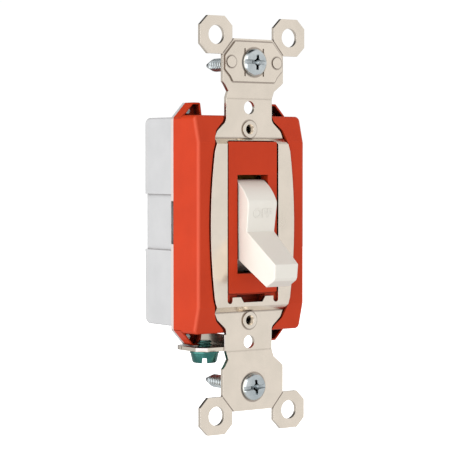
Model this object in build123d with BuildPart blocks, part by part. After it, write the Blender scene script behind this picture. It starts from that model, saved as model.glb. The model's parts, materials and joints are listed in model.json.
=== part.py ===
"""Toggle wall switch on a metal mounting strap, single pole, built from its separate pieces.

Frame: +Z up along the strap, the toggle faces -Y, +X to the right seen from the front.
The origin lies on the wall plane, the back of the four plaster ears, midway between the box screws.
"""
from build123d import *
import math
import os

os.makedirs("parts", exist_ok=True)

# ---------------------------------------- standard spacings
box_screw_spacing = 83.34          # the two screws into the wall box
plate_screw_spacing = 60.33        # the two screws of the wall plate
eyelet_spacing = 49.2              # the two eyelets that hold strap and housing together

# ---------------------------------------- mounting strap
sheet = 1.0                        # steel thickness
strap_length = 106.4
ear_inset = 0.5                    # the ears end just short of the housing's sides
ear_hole_r = 2.45
ear_width = 9.95
ear_height = 9.6
ear_corner = 2.4
end_plate_half = 9.55
end_plate_rise = 5.98              # from the box screw to the plate's top
end_plate_top_half = 6.2
end_plate_slant = 3.89             # height of its slanted corners
end_plate_drop = 5.07              # from the box screw down to where it starts to narrow
neck_half = 7.25
neck_slant = 2.3                   # height over which it narrows to the neck
setback = 1.75                     # the hole plates lie this far behind the ear plates
bend_margin = 1.67                 # from the washers to the outer bend, on the sheet's front
ear_bend_run = 3.6                 # from the outer bend to the inner one
step_out = 22.3
step_in = 20.8
shoulder_start = 26.6
shoulder_x = 10.1
shoulder_z = 24.1
step_half = 10.9
arm_corner_x = 11.95
arm_corner_z = 19.0
arm_bulge_x = 13.25
shoulder_radius = 1.9
window_half = 8.1
window_top = 21.7
window_floor = -18.4
window_radius = 1.3
slit_width = 1.6                   # narrow slits at the two bottom corners of the window
slit_floor = -19.2
notch_half_top = 3.9
notch_half_floor = 3.0
notch_depth = 1.4
plate_hole_r = 1.7
box_slot_width = 5.4               # oblong holes that let the box screws shift sideways
box_slot_height = 4.2
score_width = 0.3
score_depth = 0.15

# grounding lug folded back from the lower neck
lug_depth = 13.2                   # from the strap's front to the lug's far end
lug_overhang = 0.5                 # the lug's outer face beyond the neck's side
lug_bend_radius = 0.2              # outside of the fold
lug_clear = 0.3                    # from the housing's lower end to the lug's top
tab_clear = 3.45                   # from the housing's lower end down to the tab
tab_half_start = 0.25              # set back of the tab's front edge from the strap's front
tab_inset = 1.95                   # from the housing's side to the tab's end
tab_corner = 2.2
tab_end_radius = 3.6
tab_nick_y = 9.75
tab_nick = 0.3

# ---------------------------------------- self-grounding clip
clip_sheet = 0.4
clip_top = 5.13                    # heights above the box screw, and below it
clip_top_half = 5.9
clip_side_half = 9.0
clip_side_top = 1.63
clip_side_foot = 1.97
clip_waist_half = 7.4
clip_waist_drop = 3.57
clip_foot = 4.92
clip_foot_half = 6.6
clip_slit_x = 2.9
clip_slit_height = 7.2
clip_slit_width = 0.45
clip_hole_r = 2.1
stake_x = 7.2
stake_r = 1.4
stake_height = 0.25                # stands proud of the clip

# ---------------------------------------- box screws, 6-32 thread
box_thread_r = 1.75
box_thread_pitch = 0.794
box_head_r = 3.55
box_head_height = 1.6
box_head_flat_r = 2.55
box_head_side = 0.7                # straight part of the head's side
box_shank_length = 20.5
box_point_length = 3.2
box_point_r = 0.6
box_neck_r = 1.5                   # plain neck under the head, where the washer sits
box_neck_run = 0.2                 # the thread starts this far behind the washer
drive_slot_width = 1.1
drive_slot_depth = 1.0
washer_side = 8.0
washer_sheet = 0.8
thread_gap = 0.05                  # radial gap between a screw and the hole it turns in

# ---------------------------------------- hollow eyelets, strap to cover
eyelet_r = 1.95
eyelet_bore_r = 0.85
eyelet_mouth_r = 1.3               # dished mouth of the bore at the front
eyelet_mouth_depth = 0.9
eyelet_rim_r = 2.15
eyelet_rim = 0.4
eyelet_depth = 7.0                 # back of the block it goes through, behind the wall plane
eyelet_block_half = 3.6
eyelet_room = 0.15                 # around the rim at its back end
fit_gap = 0.05                     # radial gap of a piece pressed or riveted in its hole

# ---------------------------------------- small rivets, cover to base
rivet_r = 0.6
rivet_head_r = 0.8
rivet_head_height = 0.4
rivet_inset = 3.6                  # from the cover's sides
rivet_drop = 2.1                   # from the corner lugs' tops

# ---------------------------------------- ground screw
ground_inset = 5.6                 # from the housing's side
ground_y = 4.5
ground_head_r = 3.75
ground_head_tip_r = 3.1
ground_head_height = 3.0
ground_shank_r = 1.9
ground_chamfer = 0.4
ground_shank_above = 1.7           # above the tab
ground_slot_width = 1.35
ground_slot_depth = 1.4
ground_slot_turn = -35             # degrees, the way the slot was left

# ---------------------------------------- housing
body_rise = 0.25                   # the housing's middle sits this far above the strap's
seam_y = 10.4                      # cover and base meet here
cover_half_width = 17.05           # at the seam
cover_half_height = 27.95
cover_draft = 0.8                  # degrees
cover_wall = 1.8
cover_front_wall = 2.2
cover_corner = 1.3
cover_proud = 0.5                  # front face ahead of the wall plane, beside the strap's arms
bed_gap = 0.2                      # around the arms, in the bed they lie in
cover_rim = 0.8                    # rounding around the front face
end_slope_start = 21.0             # from here the front face falls back towards the ends
end_slope_drop = 1.4
boss_half = 7.7
boss_top = 21.4
boss_bottom = -17.4
boss_height = 0.85
boss_corner = 0.4
slot_half_width = 4.9
slot_half_height = 12.65
pocket_gap = 0.55                  # between the strap's shoulders and the cover's pocket
pocket_start = 20.3
pocket_wall = 2.1                  # cover thickness under the strap's hole plates
notch_pocket_depth = 3.0
notch_margin = 0.6                 # around the strap's centre notch
hollow_step = 3.0                  # where the hollow gets deeper, short of the strap's pockets

corner_lug_rise = 3.25             # beyond the cover's end
corner_lug_sink = 0.7              # how far it reaches back under the end
corner_lug_slant = 3.7             # insets from the cover's sides
corner_lug_inset_top = 6.15
corner_lug_inset_root = 6.7
corner_lug_front = 7.2
corner_lug_wall = 0.45
corner_lug_edge = 0.5
corner_lug_pocket_depth = 2.4

base_back = 24.6
base_side_inset = 0.5              # from the cover's sides and ends
base_top_inset = 0.5
base_bottom_inset = 1.55
base_wall = 1.8
base_edge = 0.55                   # rounding of its back edges along the sides
base_end_radius = 1.8              # rounding of its back edges along the ends
flange_thickness = 1.1
rim_thickness = 0.9
rim_height = 1.2
rim_gap = 0.1
side_recess_depth = 0.9
side_recess_top = 7.65
side_recess_bottom = -6.9
seam_notch_top = 5.9
seam_notch_bottom = -5.2
seam_notch_depth = 2.45            # from the flange's side
seam_notch_back = 3.1              # from the seam to the notch's back
notch_wall = 0.9                   # left inside the notch, and behind it

# ---------------------------------------- toggle
pivot_y = 6.1
throw_half = 33.2                  # degrees either side of level
toggle_half_width = 4.6
toggle_tip_half_width = 3.6
taper_start = 6.0                  # in front of the pivot
toggle_edge = 0.3
lever_reach = 24.8                 # pivot to tip
lever_root = 9.6
lever_root_half = 4.15
lever_tip_half = 3.5
nose_length = 1.65
nose_half = 0.45
drum_r = 12.65
drum_inner_r = 6.6
drum_corner_angle = 59.5           # degrees from the lever to where the shoulder meets the drum
drum_end_angle = 98.0
shoulder_blend = 2.2
hub_r = 4.0
trunnion_r = 1.9
trunnion_length = 2.3
shaft_gap = 0.06                   # radial running gap of every turning fit
cheek_gap = 0.4                    # between the toggle's sides and the walls beside it
cheek_half_height = 6.0
cheek_depth = 9.2
finger_reach = 8.0
finger_half = 2.7
finger_half_width = 3.2

# ---------------------------------------- snap mechanism
spring_bore_r = 1.58
spring_bore_start = 2.2
plunger_r = 1.5
plunger_centre = 9.0               # dome centre from the pivot
plunger_stem_start = 6.1
spring_wire_r = 0.22
spring_r = 1.2
spring_turns = 5
rocker_y = 18.6
rocker_tilt = 8.0                  # degrees either side of level
rocker_reach = 9.6
rocker_sheet = 1.2
rocker_half_width = 2.4
rocker_saddle_end = 0.9
rocker_pin_r = 0.9
saddle_gap = 0.25
saddle_overrun = 3                 # degrees of dish beyond the plunger's travel
contact_r = 1.5
contact_height = 0.7
contact_arm_reach = 8.4
contact_gap = 0.08
bumper_r = 1.2
bumper_inner_x = 3.6                # clear of the finger
bumper_outer_x = 6.6

# ---------------------------------------- terminals, 8-32 screws
brass = 0.8
strip_margin = 0.6
contact_margin = 1.2               # strip around the fixed contact
terminal_z = 15.0                  # above and below the housing's middle
terminal_inset = 4.45              # from the base's right side to the upright plates' inner face
terminal_plate_half = 4.4
terminal_y = 17.3
terminal_plate_front = 12.9
clamp_half = 4.3
clamp_sheet = 1.0
clamp_corner = 0.8
terminal_thread_r = 2.05
terminal_head_r = 3.9
terminal_head_height = 2.0
terminal_shank = 5.5                # under the head
terminal_pitch = 0.794
terminal_slot_width = 1.2
terminal_slot_depth = 1.0
terminal_chamfer = 0.5
window_margin = 0.4
wire_entry_r = 1.1
clamp_open = 2.3                   # room for a wire behind each clamp plate
wire_entry_offset = 3.3
cradle_half = 3.8
cradle_ear_half = 1.9
cradle_ear_corner = 1.5
rib_thickness = 2.0
rib_half_height = 10.4
past = 1.0                         # how far a cut runs beyond the face it goes through


# ======================================== helpers
def facing(y, z=0):
    """Upright plane at depth y, drawn as seen from the front, with its own origin at height z."""
    return Plane(origin=(0, y, z), x_dir=(1, 0, 0), z_dir=(0, -1, 0))


def upright(x=0):
    """Plane across X, drawn in (Y, Z)."""
    return Plane.YZ.offset(x)


def level(z):
    """Horizontal plane at height z."""
    return Plane.XY.offset(z)


def cross_axis(y, z):
    """Line along X through (y, z)."""
    return Axis((0, y, z), (1, 0, 0))


def flipped(points):
    """The same outline below the middle, in reverse order."""
    return [(first, -second) for first, second in reversed(points)]


def bend_shift(run, rise):
    """How far a bend's corner moves between the front and the back of the sheet."""
    return sheet * math.tan(math.atan2(run, rise) / 2)


cover_bottom = body_rise - cover_half_height
lug_top = cover_bottom - lug_clear
tab_top = cover_bottom - tab_clear
tab_outer_x = tab_inset - cover_half_width
ground_x = ground_inset - cover_half_width
strap_end = strap_length / 2
box_screw_z = box_screw_spacing / 2
eyelet_z = eyelet_spacing / 2
hole_plate_front = setback - sheet
ear_hole_x = cover_half_width - ear_inset - ear_width / 2
ear_hole_z = strap_end - ear_height / 2
ear_bend_out = box_screw_z - washer_side / 2 - bend_margin
ear_bend_in = ear_bend_out - ear_bend_run
end_plate_top = box_screw_z + end_plate_rise
end_plate_notch = end_plate_top - end_plate_slant
end_plate_foot = box_screw_z - end_plate_drop
neck_start = end_plate_foot - neck_slant
both_ends = (1, -1)
four_corners = [(side, end) for side in both_ends for end in both_ends]
near = 0.1                         # for picking corners by where they are

# ======================================== strap
riser_shift = bend_shift(setback, ear_bend_out - ear_bend_in)
step_shift = -bend_shift(setback, step_out - step_in)
sheet_front = [
    (-sheet, step_in),
    (hole_plate_front, step_out),
    (hole_plate_front, ear_bend_in),
    (-sheet, ear_bend_out),
    (-sheet, strap_end),
]
sheet_back = [
    (0, step_in + step_shift),
    (setback, step_out + step_shift),
    (setback, ear_bend_in + riser_shift),
    (0, ear_bend_out + riser_shift),
    (0, strap_end),
]
half_outline = [
    (neck_half, neck_start),
    (neck_half, shoulder_start),
    (shoulder_x, shoulder_z),
    (step_half, step_out),
    (arm_corner_x, arm_corner_z),
]
ear_octagon = [
    (ear_width / 2, ear_height / 2 - ear_corner),
    (ear_width / 2 - ear_corner, ear_height / 2),
    (ear_corner - ear_width / 2, ear_height / 2),
    (-ear_width / 2, ear_height / 2 - ear_corner),
]
ear_inner_x = ear_hole_x - ear_width / 2
ear_web = [
    (end_plate_top_half, end_plate_notch),
    (end_plate_half, end_plate_notch),
    (ear_hole_x, ear_hole_z - ear_height / 2),
    (ear_inner_x, ear_hole_z - ear_height / 2 + ear_corner),
]
lug_outer_x = -neck_half - lug_overhang
tab_front = hole_plate_front + tab_half_start
lug_back = hole_plate_front + lug_depth

with BuildPart() as strap:
    with BuildSketch(upright()):
        with BuildLine():
            front_and_back = flipped(sheet_front) + sheet_front
            front_and_back += reversed(flipped(sheet_back) + sheet_back)
            Polyline(*front_and_back, close=True)
        make_face()
    extrude(amount=ear_hole_x + ear_width, both=True)
    with BuildSketch(facing(0)) as outline:
        with BuildLine():
            Polyline((0, neck_start), *half_outline)
            ThreePointArc((arm_corner_x, arm_corner_z), (arm_bulge_x, 0), (arm_corner_x, -arm_corner_z))
            Polyline(*flipped(half_outline), (0, -neck_start))
            mirror(about=Plane.YZ)
        make_face()
        shoulders = [v for v in outline.vertices() if neck_half - near < abs(v.X) < shoulder_x + near]
        shoulders = [v for v in shoulders if shoulder_z - near < abs(v.Y) < shoulder_start + near]
        fillet(shoulders, shoulder_radius)
        for end in both_ends:
            with BuildLine():
                Polyline(
                    (end_plate_top_half, end * end_plate_top),
                    (end_plate_half, end * end_plate_notch),
                    (end_plate_half, end * end_plate_foot),
                    (neck_half, end * neck_start),
                    (-neck_half, end * neck_start),
                    (-end_plate_half, end * end_plate_foot),
                    (-end_plate_half, end * end_plate_notch),
                    (-end_plate_top_half, end * end_plate_top),
                    close=True,
                )
            make_face()
        with GridLocations(2 * ear_hole_x, 2 * ear_hole_z, 2, 2):
            Polygon(*ear_octagon, *[(-x, -z) for x, z in ear_octagon])
        for side, end in four_corners:
            Polygon(*[(side * x, end * z) for x, z in ear_web], align=None)
    extrude(amount=2 * setback, both=True, mode=Mode.INTERSECT)
    with BuildSketch(facing(0)) as openings:
        with Locations((0, (window_top + window_floor) / 2)):
            Rectangle(2 * window_half, window_top - window_floor)
        fillet(openings.vertices().group_by(Axis.Y)[-1], window_radius)
        with Locations(*[(side * (window_half - slit_width / 2), slit_floor) for side in both_ends]):
            Rectangle(slit_width, 2 * (window_floor - slit_floor), align=(Align.CENTER, Align.MIN))
            Circle(slit_width / 2)
        with BuildLine():
            Polyline(
                (notch_half_top, window_floor),
                (notch_half_floor, window_floor - notch_depth),
                (-notch_half_floor, window_floor - notch_depth),
                (-notch_half_top, window_floor),
                close=True,
            )
        make_face()
        with GridLocations(2 * ear_hole_x, 2 * ear_hole_z, 2, 2):
            Circle(ear_hole_r)
        with GridLocations(0, box_screw_spacing, 1, 2):
            SlotOverall(box_slot_width, box_slot_height)
        with GridLocations(0, plate_screw_spacing, 1, 2):
            Circle(plate_hole_r)
        with GridLocations(0, eyelet_spacing, 1, 2):
            Circle(eyelet_r + fit_gap)
    extrude(amount=2 * setback, both=True, mode=Mode.SUBTRACT)
    # break-off score lines between the end plates and the plaster ears
    score_run = end_plate_half - end_plate_top_half
    score_rise = end_plate_top - end_plate_notch
    score_angle = math.degrees(math.atan2(score_rise, score_run))
    with BuildSketch(facing(-sheet)):
        for end in both_ends:
            for side in both_ends:
                middle_x = side * (end_plate_top_half + score_run / 2)
                with Locations((middle_x, end * (end_plate_notch + score_rise / 2))):
                    score_turn = -side * end * score_angle
                    Rectangle(math.hypot(score_run, score_rise), score_width, rotation=score_turn)
    extrude(amount=-score_depth, mode=Mode.SUBTRACT)
    # stakes that hold the grounding clip
    with BuildSketch(facing(-sheet, box_screw_z)):
        with GridLocations(2 * stake_x, 0, 2, 1):
            Circle(stake_r)
    extrude(amount=clip_sheet + stake_height)
    # grounding lug: an upright wall folded back from the neck, and a tab folded out from its foot
    with BuildSketch(level(tab_top - sheet)):
        with Locations((lug_outer_x, hole_plate_front)):
            Rectangle(sheet, lug_depth, align=(Align.MIN, Align.MIN))
    extrude(amount=lug_top - tab_top + sheet)
    lug_edges = [e for e in strap.edges().filter_by(Axis.Z) if abs(e.center().X - lug_outer_x) < near]
    fillet(min(lug_edges, key=lambda edge: edge.center().Y), lug_bend_radius)
    with BuildSketch(level(tab_top - sheet)) as tab:
        with Locations((tab_outer_x, tab_front)):
            Rectangle(-neck_half - tab_outer_x, lug_back - tab_front, align=(Align.MIN, Align.MIN))
        outer_corners = tab.vertices().group_by(Axis.X)[0].sort_by(Axis.Y)
        chamfer(outer_corners[0], tab_corner)
        fillet(tab.vertices().group_by(Axis.X)[0].sort_by(Axis.Y)[-1], tab_end_radius)
        with Locations((tab_outer_x, tab_nick_y)):
            Rectangle(2 * tab_nick, tab_nick, mode=Mode.SUBTRACT)
        with Locations((ground_x, ground_y)):
            Circle(ground_shank_r + thread_gap, mode=Mode.SUBTRACT)
    extrude(amount=sheet)
strap.part.label = "strap"
export_step(strap.part, "parts/strap.step")

# ======================================== self-grounding clip
clip_half_outline = [
    (clip_top_half, clip_top),
    (clip_side_half, clip_side_top),
    (clip_side_half, -clip_side_foot),
    (clip_waist_half, -clip_waist_drop),
    (clip_foot_half, -clip_foot),
]
with BuildPart() as grounding_clip:
    with BuildSketch(facing(-sheet, box_screw_z)):
        with BuildLine():
            left_half = [(-x, z) for x, z in reversed(clip_half_outline)]
            Polyline(*clip_half_outline, *left_half, close=True)
        make_face()
        Circle(clip_hole_r, mode=Mode.SUBTRACT)
        with GridLocations(2 * stake_x, 0, 2, 1):
            Circle(stake_r + fit_gap, mode=Mode.SUBTRACT)
        with GridLocations(2 * clip_slit_x, 0, 2, 1):
            SlotOverall(clip_slit_height, clip_slit_width, rotation=90, mode=Mode.SUBTRACT)
    extrude(amount=clip_sheet)
grounding_clip.part.label = "grounding_clip"
export_step(grounding_clip.part, "parts/grounding_clip.step")

# ======================================== box screws and their washers
clip_front = -sheet - clip_sheet
box_neck_end = washer_sheet + box_neck_run
for end, seat, screw_name in ((1, clip_front, "box_screw_top"), (-1, -sheet, "box_screw_bottom")):
    head_front = seat - box_head_height
    head_side_start = seat - box_head_side
    shank_end = seat + box_shank_length
    with BuildPart() as box_screw:
        with BuildSketch(upright()):
            with BuildLine():
                z = end * box_screw_z
                Line((head_front, z), (head_front, z + box_head_flat_r))
                TangentArc(
                    (head_front, z + box_head_flat_r),
                    (head_side_start, z + box_head_r),
                    tangent=(0, 1),
                )
                Polyline(
                    (head_side_start, z + box_head_r),
                    (seat, z + box_head_r),
                    (seat, z + box_neck_r),
                    (box_neck_end, z + box_neck_r),
                    (box_neck_end, z + box_thread_r),
                    (shank_end - box_point_length, z + box_thread_r),
                    (shank_end, z + box_point_r),
                    (shank_end, z),
                    (head_front, z),
                )
            make_face()
        revolve(axis=Axis((0, 0, z), (0, 1, 0)))
        with BuildSketch(facing(head_front, z)):
            Rectangle(2 * (box_head_r + past), drive_slot_width)
        extrude(amount=-drive_slot_depth, mode=Mode.SUBTRACT)
    box_screw.part.label = screw_name
    export_step(box_screw.part, f"parts/{screw_name}.step")

with BuildPart() as box_screw_washers:
    with BuildSketch(facing(0)):
        with GridLocations(0, box_screw_spacing, 1, 2):
            Rectangle(washer_side, washer_side)
            Circle(box_thread_r + thread_gap, mode=Mode.SUBTRACT)
    extrude(amount=-washer_sheet)
box_screw_washers.part.label = "box_screw_washers"
export_step(box_screw_washers.part, "parts/box_screw_washers.step")

# ======================================== hollow eyelets through strap and cover
with BuildPart() as strap_eyelets:
    for end in both_ends:
        with BuildSketch(upright()):
            with BuildLine():
                z = end * eyelet_z
                Polyline(
                    (hole_plate_front - eyelet_rim + eyelet_mouth_depth, z + eyelet_bore_r),
                    (hole_plate_front - eyelet_rim, z + eyelet_mouth_r),
                    (hole_plate_front - eyelet_rim, z + eyelet_rim_r),
                    (hole_plate_front, z + eyelet_rim_r),
                    (hole_plate_front, z + eyelet_r),
                    (eyelet_depth, z + eyelet_r),
                    (eyelet_depth, z + eyelet_rim_r),
                    (eyelet_depth + eyelet_rim, z + eyelet_rim_r),
                    (eyelet_depth + eyelet_rim, z + eyelet_bore_r),
                    close=True,
                )
            make_face()
        revolve(axis=Axis((0, 0, z), (0, 1, 0)))
strap_eyelets.part.label = "strap_eyelets"
export_step(strap_eyelets.part, "parts/strap_eyelets.step")

# ======================================== ground screw, head down under the tab
tab_bottom = tab_top - sheet
with BuildPart() as ground_screw:
    with BuildSketch(Plane.XZ):
        with BuildLine():
            Polyline(
                (0, tab_top + ground_shank_above),
                (ground_shank_r - ground_chamfer, tab_top + ground_shank_above),
                (ground_shank_r, tab_top + ground_shank_above - ground_chamfer),
                (ground_shank_r, tab_bottom),
                (ground_head_r, tab_bottom),
                (ground_head_tip_r, tab_bottom - ground_head_height),
                (0, tab_bottom - ground_head_height),
                close=True,
            )
        make_face()
    revolve(axis=Axis.Z)
    with BuildSketch(level(tab_bottom - ground_head_height)):
        Rectangle(ground_slot_width, 2 * (ground_head_r + past), rotation=ground_slot_turn)
    extrude(amount=ground_slot_depth, mode=Mode.SUBTRACT)
ground_screw_placed = ground_screw.part.moved(Location((ground_x, ground_y, 0)))
ground_screw_placed.label = "ground_screw"
export_step(ground_screw_placed, "parts/ground_screw.step")

# ======================================== housing outlines shared by cover and base
corner_lug_top = cover_half_height + corner_lug_rise
corner_lug_root = cover_half_height - corner_lug_sink
corner_lug = [
    (cover_half_width, corner_lug_root),
    (cover_half_width - corner_lug_slant, corner_lug_top),
    (cover_half_width - corner_lug_inset_top, corner_lug_top),
    (cover_half_width - corner_lug_inset_root, corner_lug_root),
]
seam_notch_middle = body_rise + (seam_notch_top + seam_notch_bottom) / 2
rivet_x = cover_half_width - rivet_inset
rivet_z = corner_lug_top - rivet_drop
cheek_inner_x = toggle_half_width + cheek_gap
cheek_outer_x = toggle_half_width + trunnion_length + cheek_gap
cover_inner_half_width = cover_half_width - seam_y * math.tan(math.radians(cover_draft)) - cover_wall
cover_inner_half_height = cover_half_height - seam_y * math.tan(math.radians(cover_draft)) - cover_wall
pocket_outline = [
    (arm_corner_x - pocket_gap / 2, pocket_start),
    (step_half + pocket_gap, step_out),
    (shoulder_x + pocket_gap, shoulder_z + pocket_gap / 2),
    (neck_half + pocket_gap, shoulder_start + pocket_gap / 2),
    (neck_half + pocket_gap, cover_half_height + body_rise + past),
]

# ======================================== cover
with BuildPart() as cover:
    with BuildSketch(facing(seam_y, body_rise)):
        Rectangle(2 * cover_half_width, 2 * cover_half_height)
    extrude(amount=seam_y + cover_proud, taper=cover_draft)
    fillet([e for e in cover.edges() if abs((e % 0.5).Y) > 0.9], cover_corner)
    # the front face falls back towards both ends
    with BuildSketch(upright()):
        for end in both_ends:
            with BuildLine():
                Polyline(
                    (-cover_proud - past, body_rise + end * end_slope_start),
                    (-cover_proud, body_rise + end * end_slope_start),
                    (end_slope_drop, body_rise + end * cover_half_height),
                    (end_slope_drop, body_rise + end * (cover_half_height + past)),
                    (-cover_proud - past, body_rise + end * (cover_half_height + past)),
                    close=True,
                )
            make_face()
    extrude(amount=cover_half_width + past, both=True, mode=Mode.SUBTRACT)
    front_edges = [e for face in cover.faces().sort_by(Axis.Y)[:3] for e in face.edges()]
    rim_edges = [e for e in front_edges if front_edges.count(e) == 1]
    fillet(rim_edges, cover_rim)
    # bed for the strap's arms
    with BuildSketch(facing(0)):
        with BuildLine():
            bed_x = arm_corner_x + bed_gap
            bed_end = step_half + bed_gap
            Polyline((0, step_out), (bed_end, step_out), (bed_x, arm_corner_z))
            ThreePointArc((bed_x, arm_corner_z), (arm_bulge_x + bed_gap, 0), (bed_x, -arm_corner_z))
            Polyline((bed_x, -arm_corner_z), (bed_end, -step_out), (0, -step_out))
            mirror(about=Plane.YZ)
        make_face()
    extrude(amount=cover_proud + past, mode=Mode.SUBTRACT)
    # pockets for the strap's hole plates
    with BuildSketch(facing(setback)) as pockets:
        for end in both_ends:
            with BuildLine():
                right_side = [(x, end * z) for x, z in pocket_outline]
                left_side = [(-x, end * z) for x, z in reversed(pocket_outline)]
                Polyline(*right_side, *left_side, close=True)
            make_face()
        shoulders = [v for v in pockets.vertices() if shoulder_z < abs(v.Y) < shoulder_start + pocket_gap]
        fillet(shoulders, shoulder_radius)
    extrude(amount=2 * setback, mode=Mode.SUBTRACT)
    # pocket behind the strap's centre notch
    with BuildSketch(facing(notch_pocket_depth)):
        with Locations((0, window_floor - notch_depth / 2)):
            Rectangle(2 * (notch_half_top + notch_margin), notch_depth + 2 * notch_margin)
    extrude(amount=2 * notch_pocket_depth, mode=Mode.SUBTRACT)
    # hollow inside, deeper where no pocket is let into the front
    with BuildSketch(facing(seam_y, body_rise)):
        Rectangle(2 * cover_inner_half_width, 2 * cover_inner_half_height)
    extrude(amount=seam_y - setback - pocket_wall, mode=Mode.SUBTRACT)
    with BuildSketch(facing(seam_y, body_rise)):
        Rectangle(2 * cover_inner_half_width, 2 * (pocket_start - hollow_step))
    extrude(amount=seam_y - cover_front_wall, mode=Mode.SUBTRACT)
    # boss around the toggle, level with the strap's arms
    with BuildSketch(facing(cover_front_wall)) as boss:
        with Locations((0, (boss_top + boss_bottom) / 2)):
            Rectangle(2 * boss_half, boss_top - boss_bottom)
        fillet(boss.vertices(), boss_corner)
    extrude(amount=cover_front_wall + boss_height)
    # bearing cheeks either side of the toggle, open to the back
    with BuildSketch(facing(cheek_depth, body_rise)):
        with GridLocations(cheek_inner_x + cheek_outer_x, 0, 2, 1):
            Rectangle(cheek_outer_x - cheek_inner_x, 2 * cheek_half_height)
    extrude(amount=cheek_depth - cover_front_wall / 2)
    with BuildSketch(upright()):
        with Locations((pivot_y, body_rise)):
            Circle(trunnion_r + shaft_gap)
            Rectangle(seam_y, 2 * (trunnion_r + shaft_gap), align=(Align.MIN, Align.CENTER))
    extrude(amount=cheek_outer_x + past, both=True, mode=Mode.SUBTRACT)
    # slot for the toggle
    with BuildSketch(facing(cover_front_wall + past, body_rise)):
        Rectangle(2 * slot_half_width, 2 * slot_half_height)
    extrude(amount=cover_front_wall + 2 * past + boss_height, mode=Mode.SUBTRACT)
    # blocks that the eyelets go through, and room behind them
    with BuildSketch(facing(eyelet_depth)):
        for end in both_ends:
            block_end = body_rise + end * (cover_inner_half_height + cover_wall / 2)
            with Locations((0, (end * (eyelet_z - eyelet_block_half) + block_end) / 2)):
                Rectangle(2 * eyelet_block_half, abs(block_end - end * (eyelet_z - eyelet_block_half)))
    extrude(amount=eyelet_depth - setback - pocket_wall / 2)
    with BuildSketch(facing(seam_y)):
        with GridLocations(0, eyelet_spacing, 1, 2):
            Circle(eyelet_rim_r + eyelet_room)
    extrude(amount=seam_y - eyelet_depth, mode=Mode.SUBTRACT)
    with BuildSketch(facing(eyelet_depth)):
        with GridLocations(0, eyelet_spacing, 1, 2):
            Circle(eyelet_r + fit_gap)
    extrude(amount=eyelet_depth + past, mode=Mode.SUBTRACT)
    # hooded lugs at the four corners
    for side, end in four_corners:
        with BuildSketch(facing(seam_y, body_rise)) as lug:
            Polygon(*[(side * x, end * z) for x, z in corner_lug], align=None)
            fillet([v for v in lug.vertices() if abs(v.Y) > corner_lug_top - near], corner_lug_edge)
        extrude(amount=seam_y - corner_lug_front)
    for side, end in four_corners:
        with BuildSketch(facing(corner_lug_front + corner_lug_pocket_depth, body_rise)):
            Polygon(*[(side * x, end * z) for x, z in corner_lug], align=None)
            offset(amount=-corner_lug_wall, kind=Kind.INTERSECTION, mode=Mode.REPLACE)
        extrude(amount=corner_lug_pocket_depth, mode=Mode.SUBTRACT)
    with BuildSketch(facing(seam_y, body_rise)):
        with GridLocations(2 * rivet_x, 2 * rivet_z, 2, 2):
            Circle(rivet_r + fit_gap)
    extrude(amount=seam_y - corner_lug_front, mode=Mode.SUBTRACT)
cover.part.label = "cover"
export_step(cover.part, "parts/cover.step")

# ======================================== base
base_half_width = cover_half_width - base_side_inset
base_top = cover_half_height - base_top_inset
base_bottom = base_bottom_inset - cover_half_height
base_middle = body_rise + (base_top + base_bottom) / 2
base_height = base_top - base_bottom
base_inner = base_back - base_wall
terminal_x = base_half_width - terminal_inset
clamp_x = terminal_x + brass                      # outer face of the upright terminal plates
wire_entry_x = clamp_x + clamp_open / 2
terminal_window = clamp_half + window_margin

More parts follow.
